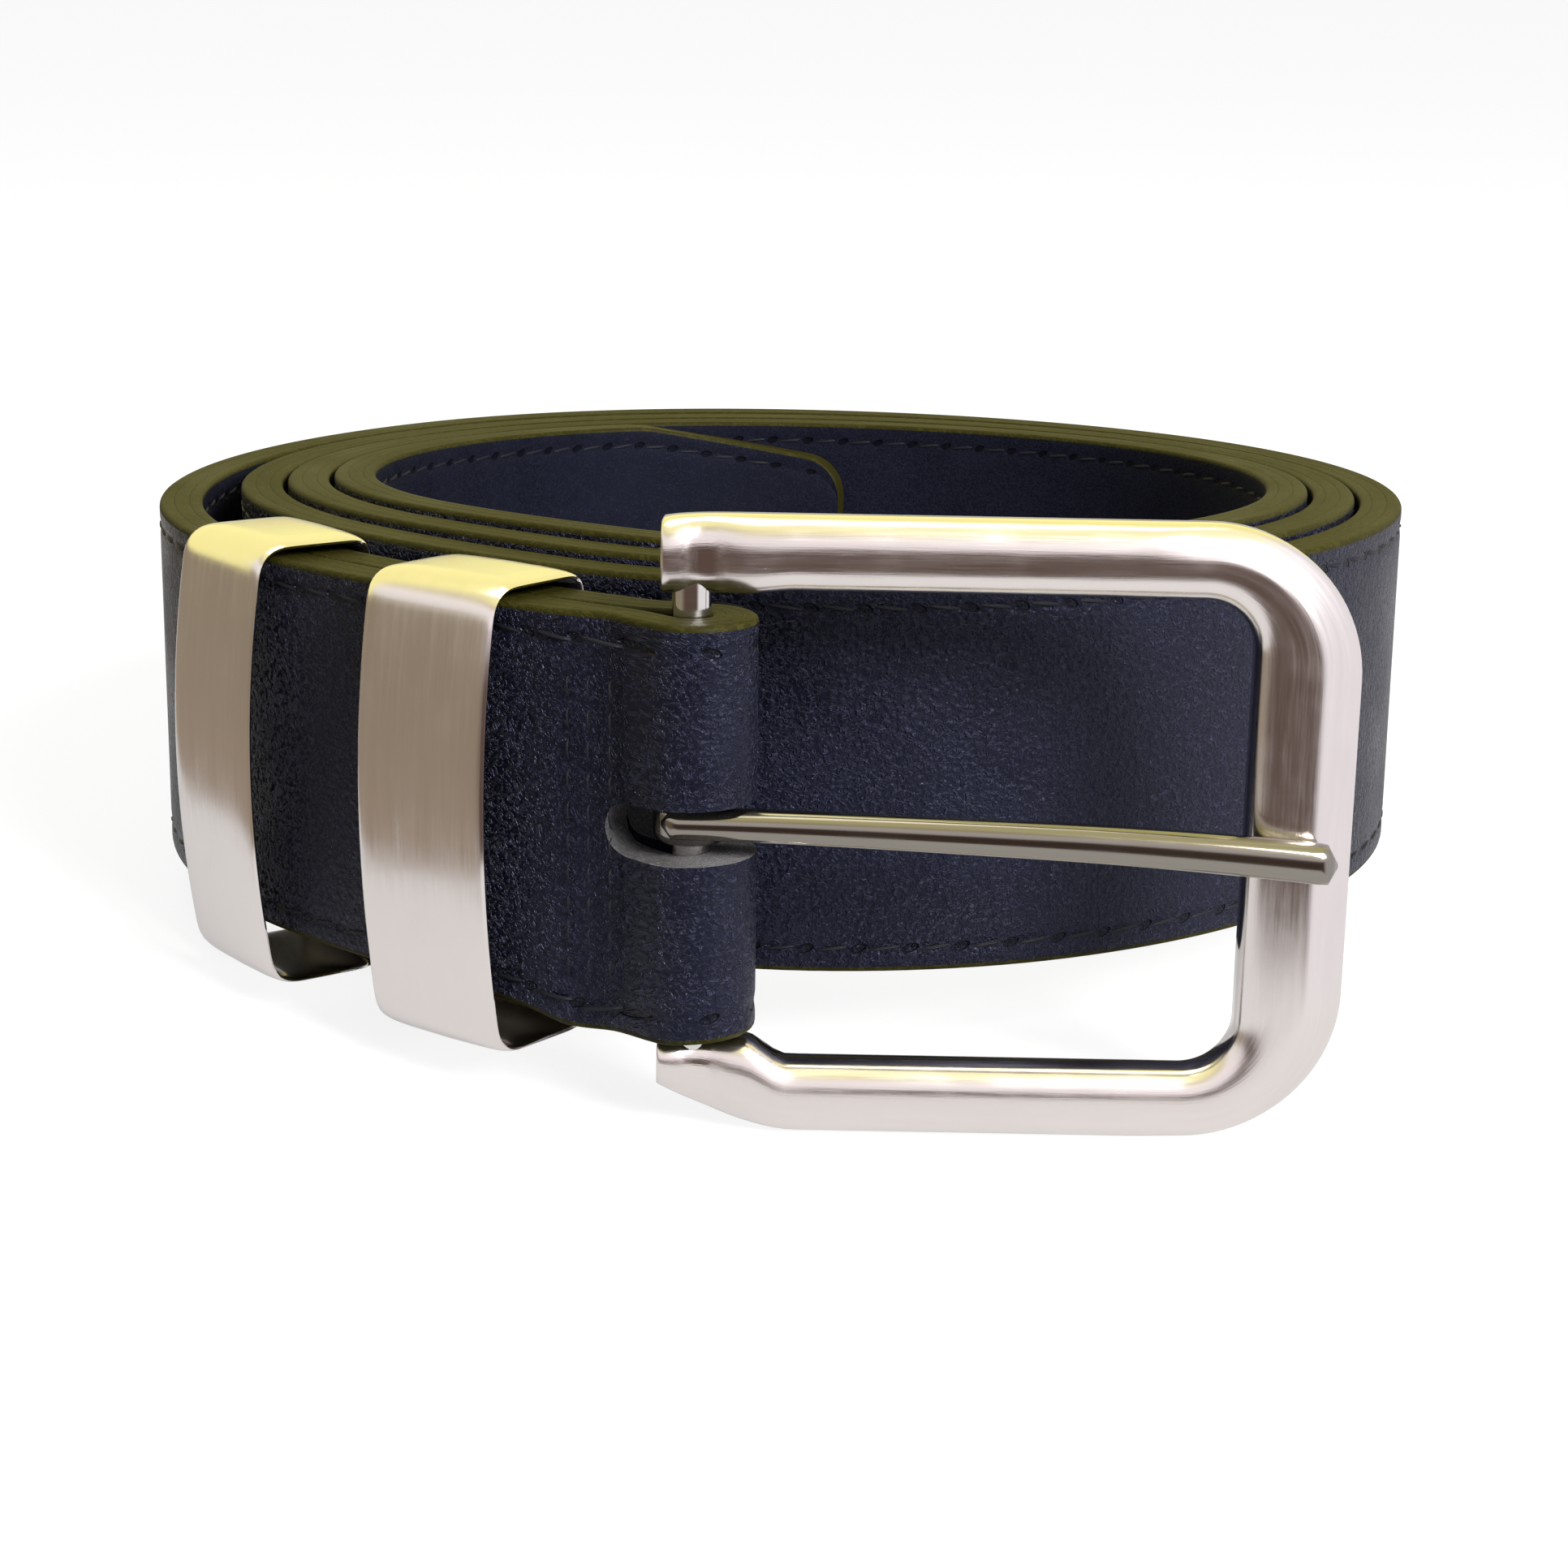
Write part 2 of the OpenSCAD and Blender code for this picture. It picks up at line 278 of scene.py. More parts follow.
def ramp(tree, value, low, high, to_low=0.0, to_high=1.0):
    """Smooth step of value from low to high."""
    props = {"interpolation_type": "SMOOTHSTEP"}
    return node(tree, "ShaderNodeMapRange", props, Value=value, From_Min=low,
                From_Max=high, To_Min=to_low, To_Max=to_high).outputs["Result"]


def mix_colour(tree, factor, a, b):
    """Colour a where the factor is 0, colour b where it is 1."""
    made = tree.nodes.new("ShaderNodeMix")
    made.data_type = "RGBA"
    for socket, value in ((made.inputs[0], factor), (made.inputs[6], a),
                          (made.inputs[7], b)):
        if isinstance(value, bpy.types.NodeSocket):
            tree.links.new(value, socket)
        else:
            socket.default_value = value
    return made.outputs[2]


def new_group(name, inputs, outputs):
    """An empty shader group with named sockets, and its two end nodes."""
    tree = bpy.data.node_groups.new(name, "ShaderNodeTree")
    kinds = {"v": "NodeSocketVector", "f": "NodeSocketFloat", "c": "NodeSocketColor"}
    for label, kind, default in inputs:
        made = tree.interface.new_socket(label, in_out="INPUT", socket_type=kinds[kind])
        if default is not None:
            made.default_value = default
    for label, kind in outputs:
        tree.interface.new_socket(label, in_out="OUTPUT", socket_type=kinds[kind])
    return tree, tree.nodes.new("NodeGroupInput"), tree.nodes.new("NodeGroupOutput")


# %% Wandering leather grain


def make_grain():
    """Ridges lie where a warped noise crosses its middle value: 1 - |noise - 1/2| * k.
    A second, slower noise breaks them into short lengths."""
    tree, g_in, g_out = new_group("Leather grain", [("Place", "v", None),
                                                    ("Fineness", "f", 1.0)],
                                  [("Height", "f"), ("Ridge", "f"), ("Cloud", "f")])
    scaled = node(tree, "ShaderNodeVectorMath", {"operation": "SCALE"},
                  _0=g_in.outputs["Place"], Scale=g_in.outputs["Fineness"]).outputs[0]
    wander = node(tree, "ShaderNodeTexNoise", None, Vector=scaled, Scale=0.9,
                  Detail=1.0, Roughness=0.5, Distortion=2.2).outputs[0]
    broken = node(tree, "ShaderNodeTexNoise", None, Vector=scaled, Scale=1.7,
                  Detail=0.0).outputs[0]
    pores = node(tree, "ShaderNodeTexVoronoi", {"feature": "SMOOTH_F1"}, Vector=scaled,
                 Scale=1.5, Smoothness=0.6).outputs["Distance"]
    cloud = node(tree, "ShaderNodeTexNoise", None, Vector=scaled, Scale=0.08,
                 Detail=2.0).outputs[0]
    away = math_node(tree, "ABSOLUTE", math_node(tree, "SUBTRACT", wander, 0.5))
    line = ramp(tree, away, 0.1, 0.015)
    ridge = math_node(tree, "MULTIPLY", line, ramp(tree, broken, 0.34, 0.5))
    height = math_node(tree, "ADD", math_node(tree, "MULTIPLY", ridge, 0.7),
                       math_node(tree, "MULTIPLY", pores, 0.45))
    tree.links.new(height, g_out.inputs["Height"])
    tree.links.new(ridge, g_out.inputs["Ridge"])
    tree.links.new(cloud, g_out.inputs["Cloud"])
    return tree


GRAIN = make_grain()

# %% Needle holes along both edges
# Pitch of the stitches and distance of a row from the edge; then half the length and
# half the width of a needle hole, and its slant.
PITCH, ROW = 4.7, 2.2
HOLE_LONG, HOLE_WIDE, HOLE_SLANT = 0.7, 0.38, 0.25


def make_needle_holes():
    """Ellipses at whole multiples of the pitch along s, on the two rows of v."""
    tree, g_in, g_out = new_group("Needle holes", [("Place", "v", None)],
                                  [("Hole", "f"), ("Row", "f")])
    split = node(tree, "ShaderNodeSeparateXYZ", None, Vector=g_in.outputs["Place"])
    s, v = split.outputs[0], split.outputs[1]
    turn = math_node(tree, "DIVIDE", s, PITCH)
    off = math_node(tree, "SUBTRACT", turn, math_node(tree, "ROUND", turn))
    off = math_node(tree, "MULTIPLY", off, PITCH)
    from_mid = math_node(tree, "ABSOLUTE", math_node(tree, "SUBTRACT", v, MID))
    across = math_node(tree, "SUBTRACT", from_mid, MID - ROW)
    slanted = math_node(tree, "SUBTRACT", across,
                        math_node(tree, "MULTIPLY", off, HOLE_SLANT))
    long_part = math_node(tree, "POWER", math_node(tree, "DIVIDE", off, HOLE_LONG), 2.0)
    wide_part = math_node(tree, "POWER", math_node(tree, "DIVIDE", slanted, HOLE_WIDE), 2.0)
    hole = ramp(tree, math_node(tree, "ADD", long_part, wide_part), 1.3, 0.7)
    row = ramp(tree, math_node(tree, "ABSOLUTE", across), 0.55, 0.1)
    tree.links.new(hole, g_out.inputs["Hole"])
    tree.links.new(row, g_out.inputs["Row"])
    return tree


HOLES = make_needle_holes()

# %% Hairlines of brushed plate


def make_hairlines():
    """Noise stretched twenty-five times along the first axis of the place."""
    tree, g_in, g_out = new_group("Hairlines", [("Place", "v", None),
                                                ("Fineness", "f", 1.0)],
                                  [("Height", "f"), ("Streak", "f"), ("Smudge", "f")])
    scaled = node(tree, "ShaderNodeVectorMath", {"operation": "SCALE"},
                  _0=g_in.outputs["Place"], Scale=g_in.outputs["Fineness"]).outputs[0]
    thin = node(tree, "ShaderNodeVectorMath", {"operation": "MULTIPLY"}, _0=scaled,
                _1=(0.12, 3.6, 3.6)).outputs[0]
    fine = node(tree, "ShaderNodeTexNoise", None, Vector=thin, Scale=1.0, Detail=3.0,
                Roughness=0.7).outputs[0]
    wide = node(tree, "ShaderNodeVectorMath", {"operation": "MULTIPLY"}, _0=scaled,
                _1=(0.05, 0.9, 0.9)).outputs[0]
    broad = node(tree, "ShaderNodeTexNoise", None, Vector=wide, Scale=1.0,
                 Detail=1.0).outputs[0]
    smudge = node(tree, "ShaderNodeTexNoise", None, Vector=scaled, Scale=0.15,
                  Detail=2.0).outputs[0]
    streak = math_node(tree, "ADD", math_node(tree, "MULTIPLY", fine, 0.6),
                       math_node(tree, "MULTIPLY", broad, 0.4))
    tree.links.new(fine, g_out.inputs["Height"])
    tree.links.new(streak, g_out.inputs["Streak"])
    tree.links.new(smudge, g_out.inputs["Smudge"])
    return tree


HAIRLINES = make_hairlines()
print("groups:", GRAIN.name, HOLES.name, HAIRLINES.name)

# %% [markdown]
# ## The leathers
# The grain side is dyed navy black. Its grain ridges are painted paler, a painted
# highlight, and slow clouds vary its colour at random. The lining is a plainer
# charcoal. The cut edges carry edge paint; its olive yellow is painted yellow light
# from above.
# Where the slot and the holes are cut, the raw fibre shows. Each material mixes its
# colours by masks and raises its ridges with one bump. The dyed leathers reflect
# a little more blue than red.

# %% Leather materials


def new_material(name):
    """A node material with its shader; returns the material, its tree and shader."""
    made = bpy.data.materials.new(name)
    made.use_nodes = True
    tree = made.node_tree
    return made, tree, tree.nodes["Principled BSDF"]


def place_of(tree):
    """The place on the flat strap or plate, in millimetres."""
    return node(tree, "ShaderNodeAttribute", {"attribute_name": "place"}).outputs[1]


def group(tree, made, **inputs):
    """Puts a node group into a material."""
    return node(tree, "ShaderNodeGroup", {"node_tree": made}, **inputs)


BLUE_SHEEN, PLAIN_SHEEN = (0.8, 0.84, 1.25, 1), (1, 1, 1, 1)
# Near black painted shade inside the needle holes, and how deep the bump sinks them.
HOLE_SHADE, HOLE_SUNK = (0.001, 0.001, 0.002, 1), 4.0


def leather(name, dark, pale_highlight_and_tone, fineness, depth, rough, gloss, holes=True):
    """Ridges get the paler colour as a painted highlight, and clouds vary it at random;
    needle holes get painted shade; ridges are raised.
    """
    made, tree, shader = new_material(name)
    place = place_of(tree)
    grain = group(tree, GRAIN, Place=place, Fineness=fineness)
    # Painted highlight: the grain ridges take the paler colour; the slow clouds vary it at
    # random.
    highlight_and_tone = math_node(tree, "ADD", math_node(tree, "MULTIPLY", grain.outputs["Ridge"], 0.75),
                     math_node(tree, "MULTIPLY", grain.outputs["Cloud"], 0.35), True)
    colour = mix_colour(tree, highlight_and_tone, dark, pale_highlight_and_tone)
    height = grain.outputs["Height"]
    if holes:
        rows = group(tree, HOLES, Place=place)
        # Painted shade: the needle holes are coloured near black.
        colour = mix_colour(tree, rows.outputs["Hole"], colour, HOLE_SHADE)
        sunk = math_node(tree, "MULTIPLY", rows.outputs["Hole"], HOLE_SUNK)
        height = math_node(tree, "SUBTRACT", height, sunk)
    tree.links.new(colour, shader.inputs["Base Color"])
    roughness = ramp(tree, grain.outputs["Cloud"], 0.2, 0.8, rough - 0.06, rough + 0.08)
    tree.links.new(roughness, shader.inputs["Roughness"])
    bump = node(tree, "ShaderNodeBump", None, Height=height, Strength=1.0, Distance=depth)
    tree.links.new(bump.outputs[0], shader.inputs["Normal"])
    shader.inputs["Specular IOR Level"].default_value = gloss
    shader.inputs["Specular Tint"].default_value = BLUE_SHEEN if holes else PLAIN_SHEEN
    return made


# The grain side's paler colour is a painted highlight on its ridges.
GRAIN_LEATHER = leather("grain leather", (0.0012, 0.0014, 0.0042, 1),
                        (0.011, 0.012, 0.024, 1), 1.25, 0.00028, 0.34, 0.2)
LINING = leather("charcoal lining", (0.0022, 0.0025, 0.0055, 1), (0.008, 0.009, 0.016, 1),
                 2.2, 0.00004, 0.5, 0.06)
# Edge paint; its olive yellow is painted yellow light from above.
EDGE_PAINT_AND_YELLOW_LIGHT = leather("edge paint with painted yellow light", (0.013, 0.0118, 0.0015, 1), (0.026, 0.0235, 0.004, 1),
                     0.6, 0.00003, 0.5, 0.05, False)
RAW_FIBRE = leather("raw fibre", (0.03, 0.03, 0.034, 1), (0.28, 0.27, 0.27, 1),
                    2.2, 0.0003, 0.85, 0.2, False)
print("leathers:", GRAIN_LEATHER.name, LINING.name, EDGE_PAINT_AND_YELLOW_LIGHT.name, RAW_FIBRE.name)

# %% [markdown]
# ## The three layers of the strap
# Each layer is a closed sheet on a grid: one parameter runs along the strap, the
# other across it. The long edges are rounded like burnished leather. Holes are made
# in the grid itself. Some cells are left out, the ring round them is pushed onto a
# circle, and a wall joins the two faces. That keeps the sheet clean, where a
# boolean would leave long thin triangles.

# %% Lines of the grid
# A cell of the grid near a hole or the slot, and the square ring that is left out.
CELL = 0.55
HOLE_RING = 4 * CELL
HOLE_R, SLOT_R = 2.0, 2.3
TIP, FIRST_HOLE, HOLE_PITCH = LENGTH, 95, 25
HOLE_PLACES = [TIP - FIRST_HOLE - HOLE_PITCH * k for k in range(5)]
SLOT_MIDDLE, SLOT_HALF = -ROLL_LEN / 2 - JOIN, 10.0
# The tail narrows over its last stretch to a flat end with two rounded corners. The
# taper meets a corner at this distance from the tip, and at this half width.
TAPER_LEN, TIP_R, TIP_FLAT = 26, 5, 9
CORNER_END, CORNER_HALF = 4.13, 13.92


def along_lines(step=2.2):
    """Even lines, finer round every hole, on the fold and at the rounded tip."""
    spots = [(SLOT_MIDDLE, SLOT_HALF / 18 * np.arange(-22, 23))]
    spots += [(c, CELL * np.arange(-8, 9)) for c in HOLE_PLACES]
    lines = np.arange(S_FIRST, TIP - 6, step)
    for c, offsets in spots:
        lines = lines[np.abs(lines - c) > np.abs(offsets).max() + 0.6]
        lines = np.concatenate([lines, c + offsets])
    fine = np.arange(3.2, 8.5, 0.6)
    lines = lines[(lines < 2.8) | (lines > 8.8)]
    tip = TIP - TIP_R * (1 - np.cos(np.linspace(0, math.pi / 2, 9)))
    return np.sort(np.concatenate([lines, fine, tip]))


def across_lines(corner):
    """Rounded corner, close lines at the stitches and round the holes; mirrored."""
    turn = np.linspace(0, math.pi / 2, 5)
    edge = corner * (1 - np.cos(turn))
    half = np.concatenate([edge, [0.95, 1.35, 1.75, 2.2, 2.65, 3.1, 4.0],
                           np.linspace(5.2, MID - 4.4 - 1.1, 7)])
    near = MID + CELL * np.arange(-8, 9)
    sink = np.zeros(len(half) * 2 + 17)
    sink[:5] = corner * (1 - np.sin(turn))
    sink[-5:] = sink[:5][::-1]
    return np.concatenate([half, near, STRAP_W - half[::-1]]), sink


def push_rings(s, v):
    """Chebyshev rings round each hole become circles: q * (1 + w (c / e * r / R - 1))."""
    for c, reach, radius in [(SLOT_MIDDLE, SLOT_HALF, SLOT_R)] + [
            (c, HOLE_RING, HOLE_R) for c in HOLE_PLACES]:
        ds, dv = s - c, v - MID
        inner = reach - HOLE_RING
        qs, qv = np.maximum(np.abs(ds) - inner, 0), np.abs(dv)
        ring = np.maximum(qs, qv)
        round_ = np.maximum(np.hypot(qs, qv), 1e-6)
        w = np.clip((2 * HOLE_RING - ring) / HOLE_RING, 0, 1)
        scale = 1 + w * (ring / round_ * radius / HOLE_RING - 1)
        near = (ring < 2 * HOLE_RING) & (ring > 1e-6)
        new_s = c + np.sign(ds) * (np.minimum(np.abs(ds), inner) + qs * scale)
        s = np.where(near & (qs > 0), new_s, s)
        v = np.where(near, MID + dv * scale, v)
    return s, v


def half_width(s):
    """Full width, then a straight taper towards the tip, then the rounded corner:
    flat end + sqrt(r^2 - (r - t)^2), with t the distance from the tip."""
    t = TIP - s
    taper = CORNER_HALF + (t - CORNER_END) / (TAPER_LEN - CORNER_END) * (MID - CORNER_HALF)
    round_ = np.sqrt(np.maximum(TIP_R ** 2 - (TIP_R - np.minimum(t, TIP_R)) ** 2, 0))
    tail = np.where(t > CORNER_END, taper, np.minimum(TIP_FLAT + round_, taper))
    return np.where(t > TAPER_LEN, MID, tail)


ALONG = along_lines()
print("%d lines along the strap" % len(ALONG))

# %% [markdown]
# The thread pulls the leather in along its rows, so each side has a shallow groove
# there. The grain side also has three upright grooves where the fold is sewn down,
# and a wide pinch behind the roll.

# %% Grooves and a pinch
FOLD_ROWS = np.array([1.0, 3.1, 5.2])
GRAIN_GROOVE, LINING_GROOVE, UPRIGHT_GROOVE, PINCH = 0.13, 0.1, 0.1, 0.95


def row_bell(v):
    """exp(-(distance from the nearer edge row / 0.5)^2)."""
    return np.exp(-((np.abs(v - MID) - MID + ROW) / 0.5) ** 2)


def pulled_in(s, v):
    """Depth below the grain side: bell curves at the edge rows, the upright rows (which
    fade out towards the edges) and the pinch."""
    upright = np.exp(-((s[..., None] - FOLD_ROWS) / 0.45) ** 2).sum(-1) * UPRIGHT_GROOVE
    pinch = PINCH * np.exp(-((s - 2.4) / 3.0) ** 2)
    reach = np.clip((15 - np.abs(v - MID)) / 2, 0, 1)
    return row_bell(v) * GRAIN_GROOVE + upright * reach + pinch


# %% One layer as a closed sheet
HOLE_COLS = 8
PAINTED, CUT = 1, 2


def layer(name, a, b, corner_a, corner_b):
    """Rings across the strap: face at depth a, edge, face at depth b, edge. The first n
    columns are on face a; column j of face b lies under column 2 n - 1 - j."""
    va, sink_a = across_lines(corner_a)
    vb, sink_b = across_lines(corner_b)
    n = len(va)
    s, v = np.broadcast_arrays(ALONG[:, None], np.concatenate([va, vb[::-1]])[None])
    d = np.concatenate([a + sink_a, (b - sink_b)[::-1]])[None] + 0 * s
    s, v = push_rings(s, v)
    if a == 0:
        d = d + pulled_in(s, v) * (np.arange(2 * n) < n)
    if b == STRAP_T:
        d = d - LINING_GROOVE * row_bell(v) * (np.arange(2 * n) >= n)
    height = MID + (v - MID) * half_width(s) / MID
    points = strap_point(s, height, d)
    rows, ring = s.shape
    i, j = np.meshgrid(np.arange(rows - 1), np.arange(ring), indexing="ij")
    k = (j + 1) % ring
    quads = np.stack([i * ring + j, i * ring + k, (i + 1) * ring + k, (i + 1) * ring + j], -1)
    col = np.where(j < n, j, 2 * n - 2 - j)
    first = n // 2 - HOLE_COLS // 2
    last = first + HOLE_COLS
    in_cols = (col >= first) & (col < last) & (j != n - 1) & (j != 2 * n - 1)
    mid_s = (ALONG[:-1] + ALONG[1:]) / 2
    in_rows = np.abs(mid_s - SLOT_MIDDLE) < SLOT_HALF
    for c in HOLE_PLACES:
        in_rows |= np.abs(mid_s - c) < HOLE_RING
    gone = in_cols & in_rows[:, None]
    kept = quads[~gone].tolist()
    edge_row = ((j == n - 1) | (j == 2 * n - 1) | (j < 4) | ((j > n - 6) & (j < n))
                | ((j >= n) & (j < n + 4)) | (j > 2 * n - 6))
    marks = np.where(edge_row, PAINTED, 0)[~gone].tolist()
    walls = []
    under = lambda c: 2 * n - 1 - c
    changes = np.flatnonzero(np.diff(np.concatenate([[0], in_rows.astype(int), [0]])))
    for r0, r1 in changes.reshape(-1, 2):
        rr, cc = np.arange(r0, r1), np.arange(first, last)
        for c in (first, last):
            walls += np.stack([rr * ring + c, (rr + 1) * ring + c,
                               (rr + 1) * ring + under(c), rr * ring + under(c)],
                              -1).tolist()
        for r in (r0, r1):
            walls += np.stack([r * ring + cc, r * ring + cc + 1,
                               r * ring + under(cc + 1), r * ring + under(cc)],
                              -1).tolist()
    cc = np.arange(n - 1)
    caps = []
    for r in (0, rows - 1):
        caps += np.stack([r * ring + cc, r * ring + cc + 1,
                          r * ring + under(cc + 1), r * ring + under(cc)], -1).tolist()
    faces = kept + walls + caps
    marks += [CUT] * len(walls) + [PAINTED] * len(caps)
    place = np.stack([s, v + 0 * s, d * 3 + 0 * s], -1)
    piece = new_piece(name, points, faces, place.reshape(-1, 3), 40)
    piece.data.polygons.foreach_set("material_index", np.array(marks, np.int32))
    return piece


# %% Face, board and lining
FACE_T, BOARD_T = 1.5, 1.5
SEAM = 0.05
face = layer("grain_layer", 0.0, FACE_T, 0.5, SEAM)
finish_piece(face, "strap", "face_leather", "face_leather", GRAIN_LEATHER, EDGE_PAINT_AND_YELLOW_LIGHT,
             RAW_FIBRE)
board = layer("core_board", FACE_T, FACE_T + BOARD_T, SEAM, SEAM)
finish_piece(board, "strap", "filler_board", "filler_board", EDGE_PAINT_AND_YELLOW_LIGHT, EDGE_PAINT_AND_YELLOW_LIGHT,
             RAW_FIBRE)
lining = layer("lining_layer", FACE_T + BOARD_T, STRAP_T, SEAM, 0.45)
finish_piece(lining, "strap", "lining_leather", "lining_leather", LINING, EDGE_PAINT_AND_YELLOW_LIGHT,
             RAW_FIBRE)

# %% [markdown]
# ## The stitches
# A lockstitch shows as a short slanted length of thread between two needle holes.
# Each is a thin tube that dives into the leather at both ends. Hundreds are needed,
# so each has only a few dozen faces, and all stitches of a thread are made in one
# array.

# %% Stitches as one array of tubes


DIVE = 0.45


def stitches(name, start, end, out, radius, lift=0.03, rings=7, around=6):
    """Centre = start..end + out * bow, bow = (lift + dive) * (1 - |2t - 1|^3.5) - dive;
    ring = centre + radius * (cos a * side + sin a * out), thinner at the ends."""
    t = np.linspace(0, 1, rings)[None, :, None]
    bow = (lift + DIVE) * (1 - np.abs(2 * t - 1) ** 3.5) - DIVE
    along = end - start
    along = along / np.linalg.norm(along, axis=-1, keepdims=True)
    side = np.cross(along, out)
    centre = start[:, None] * (1 - t) + end[:, None] * t + out[:, None] * bow
    a = np.linspace(0, 2 * math.pi, around, endpoint=False)[None, None, :, None]
    thick = radius * (0.55 + 0.45 * np.sin(math.pi * t) ** 0.5)[..., None]
    ring = (side[:, None, None] * np.cos(a) + out[:, None, None] * np.sin(a)) * thick
    points = centre[:, :, None] + ring
    place = np.broadcast_to(np.stack([t[..., None] * 5 + 0 * a, a + 0 * t[..., None],
                                      0 * a + 0 * t[..., None]], -1)[..., 0, :],
                            points.shape)
    place = place + np.arange(len(start))[:, None, None, None] * 3.1
    return new_piece(name, points, tube_faces(rings, around, len(start)),
                     place.reshape(-1, 3), 80)


GAP, SLANT = 0.42, 0.22
# How deep the middle of a needle stitch and of a bobbin stitch lies.
NEEDLE_DEPTH, BOBBIN_DEPTH = 0.12, 0.1


def row_of_stitches(s_from, s_to, v, depth):
    """Stitch k runs from k * pitch + gap to (k + 1) * pitch - gap and crosses the row
    from -slant to +slant. Returns starts, ends and outward directions."""
    k = np.arange(math.ceil(s_from / PITCH), math.floor(s_to / PITCH))
    lo, hi = k * PITCH + GAP, (k + 1) * PITCH - GAP
    slant = SLANT * np.sign(v - MID)
    ends = []
    for s, dv in ((lo, -slant), (hi, slant)):
        w = MID + (v + dv - MID) * half_width(s) / MID
        ends.append(strap_point(s, w, np.full_like(s, depth)))
    mid = (lo + hi) / 2
    one, two = (strap_point(mid, np.full_like(mid, v), np.full_like(mid, d))
                for d in (0.0, STRAP_T))
    out = (one - two) if depth < STRAP_T / 2 else (two - one)
    out[:, 2] = 0
    return ends[0], ends[1], out / np.linalg.norm(out, axis=-1, keepdims=True)


def joined(parts):
    """Several rows as one set of arrays."""
    return [np.concatenate(p) for p in zip(*parts)]


def thread_material():
    """Dark blue-grey waxed thread with a paler twist."""
    made, tree, shader = new_material("waxed thread")
    place = place_of(tree)
    twist = node(tree, "ShaderNodeTexWave", {"bands_direction": "DIAGONAL"},
                 Vector=place, Scale=0.9, Distortion=0.6).outputs[1]
    colour = mix_colour(tree, twist, (0.0015, 0.0017, 0.003, 1), (0.007, 0.008, 0.013, 1))
    tree.links.new(colour, shader.inputs["Base Color"])
    tree.links.new(ramp(tree, twist, 0, 1, 0.6, 0.45), shader.inputs["Roughness"])
    shader.inputs["Specular IOR Level"].default_value = 0.2
    bump = node(tree, "ShaderNodeBump", None, Height=twist, Strength=0.6,
                Distance=0.00005)
    tree.links.new(bump.outputs[0], shader.inputs["Normal"])
    return made


THREAD = thread_material()
EDGE_ROWS, STITCHED_TO = (ROW, STRAP_W - ROW), TIP - 5
rows = [row_of_stitches(S_FIRST + 3, STITCHED_TO, v, NEEDLE_DEPTH) for v in EDGE_ROWS]
needle = stitches("needle_stitches", *joined(rows), radius=0.2)
finish_piece(needle, "strap", "needle_thread", "thread", THREAD)
rows = [row_of_stitches(TAB + 1, STITCHED_TO, v, STRAP_T - BOBBIN_DEPTH)
        for v in EDGE_ROWS]
bobbin = stitches("bobbin_stitches", *joined(rows), radius=0.16)
finish_piece(bobbin, "strap", "bobbin_thread", "thread", THREAD)

# %% Upright rows on the fold


def fold_rows():
    """Upright stitches, 2 mm long and 2.6 mm apart, on both sides of the doubled end."""
    z = np.arange(4.0, 30.0, 2.6)
    parts = []
    for base in (FOLD_ROWS, -ROLL_LEN - 2 * JOIN - FOLD_ROWS):
        s, v = (g.ravel() for g in np.meshgrid(base, z, indexing="ij"))
        d = np.full_like(s, NEEDLE_DEPTH)
        lo, hi = strap_point(s, v + 0.3, d), strap_point(s + 0.15, v + 2.3, d)
        out = strap_point(s, v, 0 * s) - strap_point(s, v, 0 * s + STRAP_T)
        out[:, 2] = 0
        parts.append((lo, hi, out / np.linalg.norm(out, axis=-1, keepdims=True)))
    return joined(parts)


fold = stitches("fold_stitches", *fold_rows(), radius=0.1, lift=0.0)
finish_piece(fold, "strap", "fold_stitching", "thread", THREAD)

# %% [markdown]
# ## Nickel plate
# The frame and the keepers are nickel plated and brushed; their rims and the pin are
# polished. The prong is polished too, with its nickel tinted darker as painted shade.
# Brushing shows as hairlines in the bump and as streaks in the roughness. The polished
# finish keeps a few faint scratches.

# %% Nickel materials


def nickel(name, tint, rough_low, rough_high, depth, fineness, rims=False):
    """Streaks vary colour and roughness; the third place value marks polished rims."""
    made, tree, shader = new_material(name)
    place = place_of(tree)
    lines = group(tree, HAIRLINES, Place=place, Fineness=fineness)
    streak = lines.outputs["Streak"]
    colour = mix_colour(tree, ramp(tree, streak, 0.3, 0.7),
                        tuple(c * 0.97 for c in tint) + (1,), tint + (1,))
    rough = ramp(tree, streak, 0.3, 0.7, rough_low, rough_high)
    if rims:
        split = node(tree, "ShaderNodeSeparateXYZ", None, Vector=place)
        rim = ramp(tree, split.outputs[2], 0.55, 0.9)
        keep = math_node(tree, "SUBTRACT", 1.0, rim)
        rough = math_node(tree, "ADD", math_node(tree, "MULTIPLY", rough, keep),
                          math_node(tree, "MULTIPLY", rim, 0.1))
    rough = math_node(tree, "ADD", rough,
                      ramp(tree, lines.outputs["Smudge"], 0.45, 0.75, 0.0, 0.05))
    tree.links.new(colour, shader.inputs["Base Color"])
    tree.links.new(rough, shader.inputs["Roughness"])
    bump = node(tree, "ShaderNodeBump", None, Height=lines.outputs["Height"],
                Strength=1.0, Distance=depth)
    tree.links.new(bump.outputs[0], shader.inputs["Normal"])
    shader.inputs["Metallic"].default_value = 1.0
    return made


SATIN = nickel("brushed nickel", (0.76, 0.71, 0.69), 0.15, 0.24, 0.000007, 1.3, True)
POLISHED = nickel("polished nickel", (0.72, 0.7, 0.67), 0.06, 0.12, 0.000001, 0.7)
# Painted shade: the prong's nickel is a darker copy of the polished nickel.
SHADED_NICKEL = nickel("nickel with painted shade", (0.27, 0.25, 0.22), 0.1, 0.16, 0.000001, 0.7)

